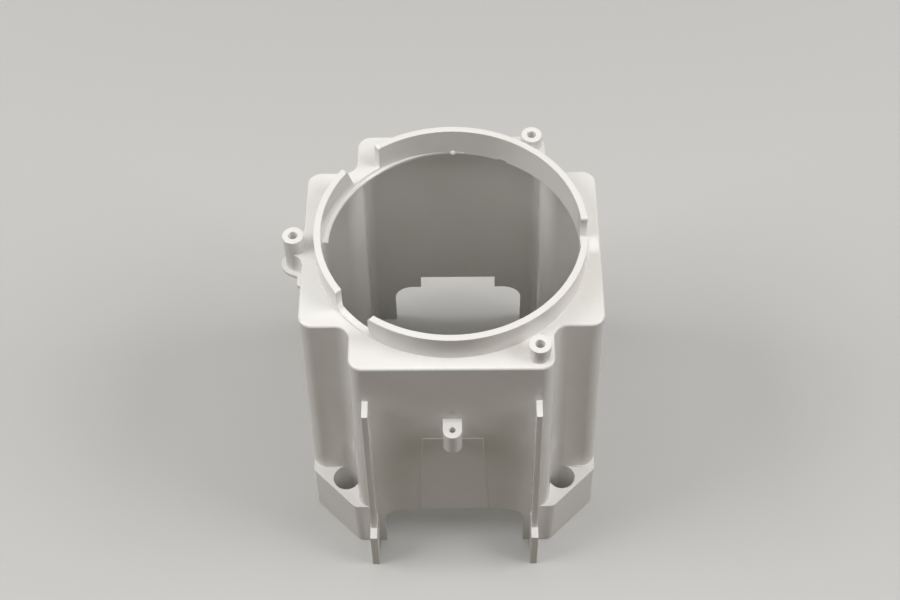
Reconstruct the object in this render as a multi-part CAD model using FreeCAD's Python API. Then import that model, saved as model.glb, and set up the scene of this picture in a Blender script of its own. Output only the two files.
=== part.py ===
import FreeCAD
import Part
import math
import os

# Injection moulded housing: a cross-shaped drafted shell, open at the foot, with a round mouth in its top
# plate. Millimetres, +Z up. The origin is on the mouth's axis at the upper face of the plate.

# Shell
foot_span = 120.0
arm_width_at_foot = 81.0
plate_top = 128.0
draft_angle = 1.0
wall = 2.2
corner_radius = 5.5
notch_radius = 5.4
plate_edge_radius = 1.0

# Collar around the mouth
mouth_diameter = 100.0
collar_wall = 2.7
collar_height = 11.0
gap_width = 17.0
gap_angle = 45.0
back_gap_lean = 3.4
key_width = 8.0
ring_left_in_gaps = 0.9
collar_end_radius = 1.2

# Lip, nib and relief at the lower edge of the mouth. A station of the lip is an angle about the mouth's axis
# and the lip's width there.
lip_height = 1.0
lip_stations = [(176.5, 1.8), (164.0, 1.5), (148.0, 1.5), (130.0, 1.4),
                (118.0, 1.0), (106.0, 0.4), (84.0, 0.25)]
nib_radius = 1.15
nib_centre_height = 0.6
nib_offset = 0.6
relief_angle = 65.7
relief_width = 3.4
relief_depth = 1.3
relief_height = 0.8

# Cover bosses, one of them on an ear outside the left wall
boss_from_wall = 3.2
boss_pair_angle = 57.8
boss_diameter = 8.3
boss_height = 7.2
pilot_diameter = 3.5
pilot_depth = 8.0
ear_drop = 10.0
ear_thickness = 1.6
ear_radius = 6.0
ear_ledge_length = 23.0
ear_ledge_width = 2.4
ear_flare = 0.9
web_radius = 4.5

# Corner feet
foot_height = 28.2
foot_corner_radius = 4.0
foot_well_diameter = 11.0
foot_well_bite = 0.1
foot_rim = 1.6
foot_screw_diameter = 4.6
foot_floor = 4.0

# Front ribs and their tabs
rib_spacing = 67.0
rib_thickness = 2.4
rib_depth = 7.2
rib_top = 107.3
tab_thickness = 3.0
tab_depth = 11.6
tab_height = 23.2

# Front screw lug
lug_width = 7.4
lug_reach = 4.0
lug_top = 93.4
lug_length = 11.0
lug_hole_diameter = 2.5
lug_hole_depth = 8.5
lug_chamfer = 1.5

# Raised panel under the lug
panel_top = 81.4
panel_width_at_top = 23.8
panel_width_at_opening = 28.8
panel_rise = 0.25

# Cable openings in the front and back walls
opening_width = 58.4
opening_height = 25.7
opening_radius = 8.5
front_step_height = 1.6
back_opening_offset = 1.8
back_step_width = 34.0
back_step_height = 7.6

slope = math.tan(math.radians(draft_angle))
half_span = foot_span / 2
half_arm = arm_width_at_foot / 2
plate_underside = plate_top - wall
collar_top = plate_top + collar_height
mouth_radius = mouth_diameter / 2
collar_radius = mouth_radius + collar_wall
boss_radius = boss_diameter / 2
well_radius = foot_well_diameter / 2
ear_top = plate_top - ear_drop
front_opening_top = opening_height + front_step_height
back_opening_top = opening_height + back_step_height
overlap = wall / 2
tiny = 1e-6
reach = foot_span * 2


def wall_distance(z):
    return half_span - slope * z


def arm_distance(z):
    return half_arm - slope * z


# The left boss stands just outside its wall, and the other two share its circle about the mouth's axis.
boss_circle_radius = wall_distance(plate_top) + boss_from_wall
# Each well bites a little into the two walls beside it, and the foot's slanted side keeps a rim around it.
foot_hole_place = arm_distance(foot_height) + well_radius - foot_well_bite
foot_corner_distance = foot_hole_place * math.sqrt(2) + well_radius + foot_rim


def rounded_outline(corners, z):
    """Closed wire through (x, y, radius) corners, each rounded by an arc of its own radius."""
    arcs = []
    count = len(corners)
    for i in range(count):
        before = FreeCAD.Vector(corners[i - 1][0], corners[i - 1][1], z)
        here = FreeCAD.Vector(corners[i][0], corners[i][1], z)
        after = FreeCAD.Vector(corners[(i + 1) % count][0], corners[(i + 1) % count][1], z)
        to_before = (before - here).normalize()
        to_after = (after - here).normalize()
        half_turn = to_before.getAngle(to_after) / 2
        radius = corners[i][2]
        start = here + to_before * (radius / math.tan(half_turn))
        end = here + to_after * (radius / math.tan(half_turn))
        inward = (to_before + to_after).normalize()
        middle = here + inward * (radius / math.sin(half_turn) - radius)
        arcs.append((start, middle, end))
    edges = []
    for i in range(count):
        edges.append(Part.Arc(*arcs[i]).toShape())
        edges.append(Part.makeLine(arcs[i][2], arcs[(i + 1) % count][0]))
    return Part.Wire(edges)


def cross_outline(z, inset):
    """The plan of the shell at one height, moved inwards by inset."""
    far = wall_distance(z) - inset
    near = arm_distance(z) - inset
    outer = corner_radius - inset
    inner = notch_radius + inset
    quarter = [(far, -near, outer), (far, near, outer), (near, near, inner)]
    corners = []
    for turn in range(4):
        cosine = round(math.cos(turn * math.pi / 2))
        sine = round(math.sin(turn * math.pi / 2))
        for x, y, radius in quarter:
            corners.append((cosine * x - sine * y, sine * x + cosine * y, radius))
    return rounded_outline(corners, z)


def foot_outline(z):
    """The plan of the four corner feet at one height: a square with its corners cut off."""
    far = wall_distance(z)
    cut = foot_corner_distance * math.sqrt(2) - far
    corners = []
    for turn in range(4):
        cosine = round(math.cos(turn * math.pi / 2))
        sine = round(math.sin(turn * math.pi / 2))
        for x, y in [(far, -cut), (far, cut)]:
            corners.append((cosine * x - sine * y, sine * x + cosine * y, foot_corner_radius))
    return rounded_outline(corners, z)


def cylinder(radius, bottom, top, x=0.0, y=0.0):
    return Part.makeCylinder(radius, top - bottom, FreeCAD.Vector(x, y, bottom))


def box(x_range, y_range, z_range):
    corner = FreeCAD.Vector(x_range[0], y_range[0], z_range[0])
    return Part.makeBox(x_range[1] - x_range[0], y_range[1] - y_range[0], z_range[1] - z_range[0], corner)


def polygon_solid(points, direction):
    return Part.Face(Part.makePolygon(points + [points[0]])).extrude(direction)


def shell():
    outside = Part.makeLoft([cross_outline(0.0, 0.0), cross_outline(plate_top, 0.0)], True, True)
    rim = [edge for edge in outside.Edges if edge.BoundBox.ZMin > plate_top - tiny]
    outside = outside.makeFillet(plate_edge_radius, rim)
    return outside.fuse(Part.makeLoft([foot_outline(0.0), foot_outline(foot_height)], True, True))


def cavity():
    levels = [0.0, plate_underside]
    return Part.makeLoft([cross_outline(z, wall) for z in levels], True, True)


def turned(solid, angle):
    solid.rotate(FreeCAD.Vector(0, 0, 0), FreeCAD.Vector(0, 0, 1), angle)
    return solid


def collar_slot(width, lean, floor):
    """A gap through the collar on +X. Its end on +Y leans in by lean from the collar's top to the plate."""
    inside = mouth_radius - collar_wall
    above = collar_top + collar_wall
    half = width / 2
    profile = [(-half, floor), (half - lean * (collar_top - floor) / collar_height, floor),
               (half + lean * collar_wall / collar_height, above), (-half, above)]
    corners = [FreeCAD.Vector(inside, y, z) for y, z in profile]
    return polygon_solid(corners, FreeCAD.Vector(3 * collar_wall, 0, 0))


def collar():
    ring = cylinder(collar_radius, plate_underside, collar_top)
    gaps = [(180 - gap_angle, gap_width, back_gap_lean, plate_top),
            (180 + gap_angle, gap_width, 0.0, plate_top + ring_left_in_gaps),
            (0.0, key_width, 0.0, plate_top + ring_left_in_gaps)]
    for angle, width, lean, floor in gaps:
        ring = ring.cut(turned(collar_slot(width, lean, floor), angle))
    return ring


def round_collar_ends(part):
    """Rounds the upper corners of the collar where it stops at a gap."""
    ends = []
    for edge in part.Edges:
        if edge.BoundBox.ZMin > collar_top - tiny and isinstance(edge.Curve, Part.Line):
            ends.append(edge)
    return part.makeFillet(collar_end_radius, ends)


def mouth_lip():
    """The narrow shelf inside the mouth, wide at its left end, that fades out at the back."""
    def place(angle, radius):
        turn = math.radians(angle)
        return FreeCAD.Vector(radius * math.cos(turn), radius * math.sin(turn), plate_underside)
    inner = [place(angle, mouth_radius - width) for angle, width in lip_stations]
    first, last = lip_stations[0][0], lip_stations[-1][0]
    outer = [place(angle, mouth_radius + overlap) for angle in (last, (first + last) / 2, first)]
    edge = Part.BSplineCurve()
    edge.interpolate(inner)
    edges = [edge.toShape(), Part.makeLine(inner[-1], outer[0]), Part.Arc(*outer).toShape(),
             Part.makeLine(outer[-1], inner[0])]
    return Part.Face(Part.Wire(edges)).extrude(FreeCAD.Vector(0, 0, lip_height))


def mouth_nib():
    """The round nib at the back of the mouth, cut off level with the plate's lower face."""
    centre = FreeCAD.Vector(nib_offset, mouth_radius, plate_underside + nib_centre_height)
    around = box((nib_offset - nib_radius, nib_offset + nib_radius),
                 (mouth_radius - nib_radius, mouth_radius + nib_radius), (plate_underside, plate_top))
    return Part.makeSphere(nib_radius, centre).common(around)


def mouth_relief():
    """The shallow cut in the lower edge of the mouth, right of the nib."""
    cut = box((mouth_radius - wall, mouth_radius + relief_depth), (-relief_width / 2, relief_width / 2),
              (plate_underside - wall, plate_underside + relief_height))
    return turned(cut, relief_angle)


def boss_places():
    angles = [180.0, boss_pair_angle, -boss_pair_angle]
    places = []
    for angle in angles:
        turn = math.radians(angle)
        places.append((boss_circle_radius * math.cos(turn), boss_circle_radius * math.sin(turn)))
    return places


def bosses():
    left, back, front = boss_places()
    solids = [cylinder(boss_radius, ear_top, plate_top + boss_height, *left)]
    for place in (back, front):
        solids.append(cylinder(boss_radius, plate_underside, plate_top + boss_height, *place))
    return solids


def pilots():
    top = plate_top + boss_height
    return [cylinder(pilot_diameter / 2, top - pilot_depth, top, *place) for place in boss_places()]


def ear():
    """The shelf that carries the left boss: a disc under the boss, flared into a ledge on the wall."""
    bottom = ear_top - ear_thickness
    inside = -(wall_distance(ear_top) - overlap)
    edge_x = -(wall_distance(ear_top) + ear_ledge_width)
    shoulder = ear_radius + ear_flare
    half_ledge = ear_ledge_length / 2
    disc = cylinder(ear_radius, bottom, ear_top, -boss_circle_radius, 0.0)
    ledge = box((edge_x, inside), (-half_ledge, half_ledge), (bottom, ear_top))
    outer_corners = [edge for edge in ledge.Edges
                     if edge.BoundBox.ZLength > ear_thickness / 2 and edge.BoundBox.XMax < edge_x + tiny]
    ledge = ledge.makeFillet(ear_ledge_width / 2, outer_corners)
    from_axis_x = edge_x + boss_circle_radius
    bearing = math.atan2(shoulder, from_axis_x)
    bearing += math.acos(ear_radius / math.hypot(shoulder, from_axis_x))
    touch_x = -boss_circle_radius + ear_radius * math.cos(bearing)
    touch_y = ear_radius * math.sin(bearing)
    outline = [(inside, -shoulder), (edge_x, -shoulder), (touch_x, -touch_y),
               (touch_x, touch_y), (edge_x, shoulder), (inside, shoulder)]
    corners = [FreeCAD.Vector(x, y, bottom) for x, y in outline]
    flare = polygon_solid(corners, FreeCAD.Vector(0, 0, ear_thickness))
    return [disc, ledge, flare]


def boss_web():
    face = wall_distance(plate_top)
    centre_x = -(face + web_radius)
    offset = boss_circle_radius + centre_x
    centre_y = math.sqrt((boss_radius + web_radius) ** 2 - offset ** 2)
    web = box((-boss_circle_radius, -(face - overlap)), (-centre_y, centre_y), (ear_top, plate_top))
    for side in (-1, 1):
        web = web.cut(cylinder(web_radius, ear_top, plate_top, centre_x, side * centre_y))
    return web


def foot_wells():
    cuts = []
    for x in (-foot_hole_place, foot_hole_place):
        for y in (-foot_hole_place, foot_hole_place):
            cuts.append(cylinder(well_radius, foot_floor, foot_height, x, y))
            cuts.append(cylinder(foot_screw_diameter / 2, 0.0, foot_floor, x, y))
    return cuts


def front_ribs():
    def front(z, out):
        return -(wall_distance(z) + out)
    solids = []
    for side in (-1, 1):
        x = side * rib_spacing / 2 - rib_thickness / 2
        profile = [(front(0.0, -overlap), 0.0), (front(0.0, rib_depth), 0.0),
                   (front(rib_top, rib_depth), rib_top), (front(rib_top, -overlap), rib_top)]
        points = [FreeCAD.Vector(x, y, z) for y, z in profile]
        solids.append(polygon_solid(points, FreeCAD.Vector(rib_thickness, 0, 0)))
        middle = side * rib_spacing / 2
        solids.append(box((middle - tab_thickness / 2, middle + tab_thickness / 2),
                          (-(half_span + tab_depth), -(half_span - overlap)), (0.0, tab_height)))
    return solids


def lug():
    """The half-round screw lug on the front wall, with a small slope where it meets the wall above."""
    face = wall_distance(lug_top)
    radius = lug_width / 2
    centre = -(face + lug_reach)
    bottom = lug_top - lug_length
    inside = -(face - overlap)
    round_end = cylinder(radius, bottom, lug_top, 0.0, centre)
    block = box((-radius, radius), (centre, inside), (bottom, lug_top))
    points = [FreeCAD.Vector(-radius, inside, lug_top),
              FreeCAD.Vector(-radius, -(face + lug_chamfer), lug_top),
              FreeCAD.Vector(-radius, inside, lug_top + lug_chamfer + overlap)]
    chamfer = polygon_solid(points, FreeCAD.Vector(lug_width, 0, 0))
    return [round_end, block, chamfer]


def lug_hole():
    centre = -(wall_distance(lug_top) + lug_reach)
    return cylinder(lug_hole_diameter / 2, lug_top - lug_hole_depth, lug_top, 0.0, centre)


def panel():
    """The trapezoid pad of the front wall between the lug and the opening."""
    def level(z, half_width, out):
        y = -(wall_distance(z) + out)
        return [FreeCAD.Vector(-half_width, y, z), FreeCAD.Vector(half_width, y, z)]
    outlines = []
    for out in (-overlap, panel_rise):
        low = level(front_opening_top, panel_width_at_opening / 2, out)
        high = level(panel_top, panel_width_at_top / 2, out)
        points = [low[0], low[1], high[1], high[0]]
        outlines.append(Part.makePolygon(points + [points[0]]))
    return Part.makeLoft(outlines, True, True)


def arch(middle, y_range):
    """The plain arched cut shared by the front and back openings."""
    half = opening_width / 2
    cut = box((middle - half, middle + half), y_range, (-opening_radius, opening_height))
    corners = [edge for edge in cut.Edges
               if edge.BoundBox.YLength > wall and edge.BoundBox.ZMin > opening_height - tiny]
    return cut.makeFillet(opening_radius, corners)


def openings():
    front = (-reach, -(half_span - wall - notch_radius))
    back = (half_span - wall - notch_radius, reach)
    half_front = panel_width_at_opening / 2
    back_step = (back_opening_offset - back_step_width / 2, back_opening_offset + back_step_width / 2)
    return [arch(0.0, front), box((-half_front, half_front), front, (0.0, front_opening_top)),
            arch(back_opening_offset, back), box(back_step, back, (0.0, back_opening_top))]


def housing():
    part = shell().fuse([collar()] + bosses() + ear() + [boss_web()] + lug() + [panel()])
    hollow = cavity().fuse(cylinder(mouth_radius, plate_underside - wall, plate_top + 2 * collar_height))
    part = part.cut(hollow)
    part = round_collar_ends(part)
    part = part.cut(openings())
    part = part.fuse(front_ribs() + [mouth_lip(), mouth_nib()])
    part = part.cut(foot_wells() + pilots() + [lug_hole(), mouth_relief()])
    part = part.removeSplitter()
    part.translate(FreeCAD.Vector(0, 0, -plate_top))
    return part


os.makedirs("parts", exist_ok=True)
result = housing()
if len(result.Solids) == 1:
    result = result.Solids[0]
print("valid", result.isValid(), "solids", len(result.Solids), "volume", round(result.Volume))
print("box", result.BoundBox)
result.exportStep("parts/housing.step")
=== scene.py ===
import math
import bmesh
import bpy
import numpy as np
from mathutils import Matrix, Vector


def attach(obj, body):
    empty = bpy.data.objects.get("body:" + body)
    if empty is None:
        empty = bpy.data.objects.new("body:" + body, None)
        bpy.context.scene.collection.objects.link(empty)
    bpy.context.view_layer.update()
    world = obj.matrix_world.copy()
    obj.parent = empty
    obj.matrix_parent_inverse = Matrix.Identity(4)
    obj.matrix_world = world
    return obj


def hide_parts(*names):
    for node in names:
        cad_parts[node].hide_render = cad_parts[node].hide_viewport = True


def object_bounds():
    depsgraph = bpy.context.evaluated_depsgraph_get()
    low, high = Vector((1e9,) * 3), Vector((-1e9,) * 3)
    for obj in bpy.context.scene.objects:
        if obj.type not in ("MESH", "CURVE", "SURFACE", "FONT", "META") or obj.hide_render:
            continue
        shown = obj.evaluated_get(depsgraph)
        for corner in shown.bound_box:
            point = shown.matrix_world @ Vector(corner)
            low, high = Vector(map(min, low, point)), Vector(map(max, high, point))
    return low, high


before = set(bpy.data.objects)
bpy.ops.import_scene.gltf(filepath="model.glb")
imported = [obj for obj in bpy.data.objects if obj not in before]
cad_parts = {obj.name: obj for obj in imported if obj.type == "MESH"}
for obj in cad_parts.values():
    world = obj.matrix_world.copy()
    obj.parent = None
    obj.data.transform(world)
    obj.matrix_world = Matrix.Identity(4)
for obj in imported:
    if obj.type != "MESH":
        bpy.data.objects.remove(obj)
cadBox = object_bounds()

scene = bpy.context.scene
mm = 0.001

# The camera was fitted to the photograph: lengths in millimetres, angles in degrees.
view = {
    "focalPixels": 1520.0, "imageWidth": 900, "sensorWidth": 36.0, "nearest": 10.0,
    "distance": 574.3, "elevation": 53.406, "azimuth": 0.997, "roll": -1.191,
    "target": (-0.508, -26.178, 0.0),
}


def setCamera():
    e, a, r = (math.radians(view[k]) for k in ("elevation", "azimuth", "roll"))
    back = np.array([math.sin(a) * math.cos(e), -math.cos(a) * math.cos(e), math.sin(e)])
    level = np.array([math.cos(a), math.sin(a), 0.0])
    over = np.cross(back, level)
    right = math.cos(r) * level + math.sin(r) * over
    up = -math.sin(r) * level + math.cos(r) * over
    place = (np.array(view["target"]) + back * view["distance"]) * mm
    camera = bpy.data.objects.new("camera", bpy.data.cameras.new("camera"))
    camera.data.sensor_fit = "HORIZONTAL"
    camera.data.sensor_width = view["sensorWidth"]
    camera.data.lens = view["focalPixels"] * view["sensorWidth"] / view["imageWidth"]
    camera.data.clip_start = view["nearest"] * mm
    columns = np.stack([right, up, back, place], axis=1)
    camera.matrix_world = Matrix(columns.tolist() + [[0.0, 0.0, 0.0, 1.0]])
    scene.collection.objects.link(camera)
    scene.camera = camera


setCamera()
print("camera set")


def linear(hexColour):  # sRGB hex to linear RGBA
    c = np.array([int(hexColour[i:i + 2], 16) for i in (1, 3, 5)]) / 255
    c = np.where(c <= 0.04045, c / 12.92, ((c + 0.055) / 1.055) ** 2.4)
    return (*c.tolist(), 1.0)


# Settings and links go by a socket's name or number. Any other name in settings is one of the node's own options.
def addNode(tree, kind, settings=None, links=None):
    node = tree.nodes.new(kind)
    for name, value in (settings or {}).items():
        if isinstance(name, int) or name in node.inputs:
            node.inputs[name].default_value = value
        else:
            setattr(node, name, value)
    for name, source in (links or {}).items():
        tree.links.new(source, node.inputs[name])
    return node


# Moulded gloss ABS. A polished mould leaves it smooth enough to mirror what stands near it, with a slow ripple
# where the wall sank as it cooled and a fine orange peel. The peel is drawn coarser than the real one, about
# 0.2 mm, so that it shows. Sizes, heights, spacing and radius are in millimetres.
glossAbs = {
    "colour": "#F3F2F0", "ior": 1.53, "smooth": 0.10, "cloudRoughness": 0.55,
    "shade": {"colour": "#EAE8E2", "size": 42.0, "detail": 3.0, "from": 0.35, "to": 0.65, "amount": 0.55},
    "dull": {"roughness": 0.22, "size": 7.0, "detail": 6.0, "from": 0.4, "to": 0.75},
    "ripple": {"height": 0.05, "size": 17.0, "detail": 1.0},
    "peel": {"height": 0.0008, "size": 0.8, "detail": 2.0},
    "speck": {"colour": "#A79E8C", "spacing": 13.0, "radius": 0.2, "core": 0.6, "amount": 0.8},
}


def mouldedAbs():
    look = glossAbs
    shade, dull, speck = look["shade"], look["dull"], look["speck"]
    material = bpy.data.materials.new("mouldedGlossAbs")
    material.use_nodes = True
    tree = material.node_tree
    shader = tree.nodes["Principled BSDF"]
    shader.inputs["IOR"].default_value = look["ior"]
    place = addNode(tree, "ShaderNodeTexCoord").outputs["Object"]
    clouds = {}
    for name in ("shade", "dull", "ripple", "peel"):
        settings = {"Scale": 1 / (look[name]["size"] * mm), "Detail": look[name]["detail"],
                    "Roughness": look["cloudRoughness"]}
        clouds[name] = addNode(tree, "ShaderNodeTexNoise", settings, {"Vector": place}).outputs["Fac"]

    # Colour: a slow drift of tone from the flow of the melt, and rare burnt specks
    settings = {"From Min": shade["from"], "From Max": shade["to"], "To Max": shade["amount"]}
    drift = addNode(tree, "ShaderNodeMapRange", settings, {"Value": clouds["shade"]})
    settings = {"data_type": "RGBA", 6: linear(look["colour"]), 7: linear(shade["colour"])}
    tone = addNode(tree, "ShaderNodeMix", settings, {0: drift.outputs[0]})
    settings = {"Scale": 1 / (speck["spacing"] * mm)}
    cells = addNode(tree, "ShaderNodeTexVoronoi", settings, {"Vector": place})
    radius = speck["radius"] / speck["spacing"]
    settings = {"From Min": radius * speck["core"], "From Max": radius,
                "To Min": speck["amount"], "To Max": 0.0}
    burnt = addNode(tree, "ShaderNodeMapRange", settings, {"Value": cells.outputs["Distance"]})
    settings = {"data_type": "RGBA", 7: linear(speck["colour"])}
    surface = addNode(tree, "ShaderNodeMix", settings, {0: burnt.outputs[0], 6: tone.outputs[2]})
    tree.links.new(surface.outputs[2], shader.inputs["Base Color"])

    # Gloss: handling leaves soft, slightly duller patches
    settings = {"From Min": dull["from"], "From Max": dull["to"],
                "To Min": look["smooth"], "To Max": dull["roughness"]}
    patches = addNode(tree, "ShaderNodeMapRange", settings, {"Value": clouds["dull"]})
    tree.links.new(patches.outputs[0], shader.inputs["Roughness"])

    # Relief: the ripple and the peel, added in metres
    settings = {"operation": "MULTIPLY", 1: look["ripple"]["height"] * mm}
    ripple = addNode(tree, "ShaderNodeMath", settings, {0: clouds["ripple"]})
    settings = {"operation": "MULTIPLY_ADD", 1: look["peel"]["height"] * mm}
    relief = addNode(tree, "ShaderNodeMath", settings, {0: clouds["peel"], 2: ripple.outputs[0]})
    bump = addNode(tree, "ShaderNodeBump", {"Strength": 1.0, "Distance": 1.0}, {"Height": relief.outputs[0]})
    tree.links.new(bump.outputs["Normal"], shader.inputs["Normal"])
    return material


# In the photograph the two ribs of the front wall lean in slightly towards their upper ends. Each point of a rib
# moves inwards in proportion to its height above the tab, and the points where it meets the wall move with it.
# Millimetres.
ribLean = {
    "inward": 0.65, "middle": 33.5, "halfWidth": 1.2, "front": -57.5, "foot": -104.8, "top": -20.7,
    "margin": 0.05,
}


def leanRibs(mesh):
    points = np.empty((len(mesh.vertices), 3), np.float32)
    mesh.vertices.foreach_get("co", points.ravel())
    x, y, z = points.T / mm
    foot, top, margin = ribLean["foot"], ribLean["top"], ribLean["margin"]
    inWidth = abs(abs(x) - ribLean["middle"]) < ribLean["halfWidth"] + margin
    onRib = inWidth & (y < ribLean["front"]) & (z > foot) & (z < top + margin)
    rise = (z - foot) / (top - foot)
    points[:, 0] -= np.where(onRib, np.sign(x) * rise * ribLean["inward"] * mm, 0.0)
    mesh.vertices.foreach_set("co", points.ravel())
    mesh.update()


# The CAD solid has sharp edges where a mould leaves a small radius, so a merged copy of it is rounded and shown
# in its place. Inner edges stay sharp, and so do the thin lip in the mouth and the ear of the left boss, which
# have no room for the rounding. Millimetres and degrees.
edgeSoftening = {
    "radius": 0.22, "steps": 2, "sharperThan": 40.0, "longerThan": 0.2,
    "mergeWithin": 0.001, "flatWithin": 0.3,
    "lip": {"within": 50.4, "below": 0.5, "above": -2.3},
    "ear": {"beyond": -56.0, "halfWidth": 10.0, "below": 0.5, "above": -12.0},
}


def leftSharp(edge):
    x, y, z = (edge.verts[0].co + edge.verts[1].co) / (2 * mm)
    lip, ear = edgeSoftening["lip"], edgeSoftening["ear"]
    onLip = math.hypot(x, y) < lip["within"] and lip["above"] < z < lip["below"]
    onEar = x < ear["beyond"] and abs(y) < ear["halfWidth"] and ear["above"] < z < ear["below"]
    return onLip or onEar or edge.calc_length() < edgeSoftening["longerThan"] * mm


def softenedCopy(node, name):
    mesh = bpy.data.meshes.new(name)
    work = bmesh.new()
    work.from_mesh(node.data)
    bmesh.ops.remove_doubles(work, verts=work.verts, dist=edgeSoftening["mergeWithin"] * mm)
    bmesh.ops.dissolve_limit(work, angle_limit=math.radians(edgeSoftening["flatWithin"]),
                             verts=work.verts, edges=work.edges)
    for face in work.faces:
        face.smooth = True
    rounded = work.edges.layers.float.new("bevel_weight_edge")
    limit = math.radians(edgeSoftening["sharperThan"])
    for edge in work.edges:
        angle = edge.calc_face_angle_signed(0.0)
        edge[rounded] = float(angle > limit and not leftSharp(edge))
        edge.smooth = abs(angle) < limit or edge[rounded] > 0
    work.to_mesh(mesh)
    work.free()
    leanRibs(mesh)
    piece = bpy.data.objects.new(name, mesh)
    scene.collection.objects.link(piece)
    bevel = piece.modifiers.new("edges", "BEVEL")
    bevel.width = edgeSoftening["radius"] * mm
    bevel.segments = edgeSoftening["steps"]
    bevel.limit_method = "WEIGHT"
    bevel.use_clamp_overlap = False
    bevel.harden_normals = True
    weld = piece.modifiers.new("weld", "WELD")
    weld.merge_threshold = edgeSoftening["mergeWithin"] * mm
    shading = piece.modifiers.new("shading", "WEIGHTED_NORMAL")
    shading.keep_sharp = True
    return piece


housing = softenedCopy(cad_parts["housing"], "housingMoulding")
housing.data.materials.append(mouldedAbs())
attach(housing, "root")
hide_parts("housing")
print("housing softened:", len(housing.data.polygons), "faces")

# Diffuse bounce from the floor and the world is held low, as in the photograph's dark surroundings, while the
# camera and the reflections see both pale. Beyond the shadow the floor fades into the plain background. Metres.
stageSet = {
    "size": 6.0, "z": cadBox[0][2], "pale": "#CFCFCE", "bounce": "#4A4231", "roughness": 0.9,
    "ambientColour": "#E6D3A6", "ambient": 0.09, "fadeFrom": 0.28, "fadeTo": 0.8,
}


def seenDirectly(tree):
    path = addNode(tree, "ShaderNodeLightPath")
    seen = path.outputs["Is Camera Ray"]
    for ray in ("Is Glossy Ray", "Is Transmission Ray"):
        seen = addNode(tree, "ShaderNodeMath", {"operation": "MAXIMUM"},
                       {0: seen, 1: path.outputs[ray]}).outputs[0]
    return seen


# Matt painted board near the housing, plain light of the background's colour far from it
def mattPaint():
    material = bpy.data.materials.new("mattPaintedBoard")
    material.use_nodes = True
    tree = material.node_tree
    seen = seenDirectly(tree)
    settings = {"data_type": "RGBA", 6: linear(stageSet["bounce"]), 7: linear(stageSet["pale"])}
    colour = addNode(tree, "ShaderNodeMix", settings, {0: seen})
    near = tree.nodes["Principled BSDF"]
    tree.links.new(colour.outputs[2], near.inputs["Base Color"])
    near.inputs["Roughness"].default_value = stageSet["roughness"]
    far = addNode(tree, "ShaderNodeEmission", {"Color": linear(stageSet["pale"]), "Strength": 1.0})
    place = addNode(tree, "ShaderNodeTexCoord").outputs["Object"]
    reach = addNode(tree, "ShaderNodeVectorMath", {"operation": "LENGTH"}, {0: place})
    settings = {"interpolation_type": "SMOOTHSTEP",
                "From Min": stageSet["fadeFrom"], "From Max": stageSet["fadeTo"]}
    fade = addNode(tree, "ShaderNodeMapRange", settings, {"Value": reach.outputs["Value"]})
    share = addNode(tree, "ShaderNodeMath", {"operation": "MULTIPLY"}, {0: fade.outputs[0], 1: seen})
    both = addNode(tree, "ShaderNodeMixShader", None,
                   {0: share.outputs[0], 1: near.outputs[0], 2: far.outputs[0]})
    tree.links.new(both.outputs[0], tree.nodes["Material Output"].inputs["Surface"])
    return material


def plainFloor():
    half = stageSet["size"] / 2
    mesh = bpy.data.meshes.new("floor")
    corners = [(-half, -half), (half, -half), (half, half), (-half, half)]
    mesh.from_pydata([(x, y, stageSet["z"]) for x, y in corners], [], [(0, 1, 2, 3)])
    mesh.materials.append(mattPaint())
    floor = bpy.data.objects.new("floor", mesh)
    scene.collection.objects.link(floor)


plainFloor()
print("floor set")

# A large soft lamp hangs above the mouth, and two at the sides light the walls. All face the housing.
# Metres and watts.
lights = [
    {"name": "overhead", "place": (0.0, 0.0, 1.1), "size": 1.0, "power": 4.7},
    {"name": "sideLeft", "place": (-1.05, -0.13, 0.92), "size": 0.85, "power": 10.8},
    {"name": "sideRight", "place": (1.05, -0.13, 0.92), "size": 0.85, "power": 10.8},
]


def softLights():
    for each in lights:
        data = bpy.data.lights.new(each["name"], "AREA")
        data.shape = "SQUARE"
        data.size = each["size"]
        data.energy = each["power"]
        lamp = bpy.data.objects.new(each["name"], data)
        lamp.location = each["place"]
        lamp.rotation_euler = lamp.location.to_track_quat("Z", "Y").to_euler()
        scene.collection.objects.link(lamp)


def paleWorld():
    world = bpy.data.worlds.new("studio")
    world.use_nodes = True
    tree = world.node_tree
    dim = tree.nodes["Background"]
    dim.inputs["Color"].default_value = linear(stageSet["ambientColour"])
    dim.inputs["Strength"].default_value = stageSet["ambient"]
    shown = addNode(tree, "ShaderNodeBackground", {"Color": linear(stageSet["pale"]), "Strength": 1.0})
    both = addNode(tree, "ShaderNodeMixShader", None,
                   {0: seenDirectly(tree), 1: dim.outputs[0], 2: shown.outputs[0]})
    tree.links.new(both.outputs[0], tree.nodes["World Output"].inputs["Surface"])
    scene.world = world


softLights()
paleWorld()
scene.view_settings.view_transform = "Standard"
print("lights and world set")
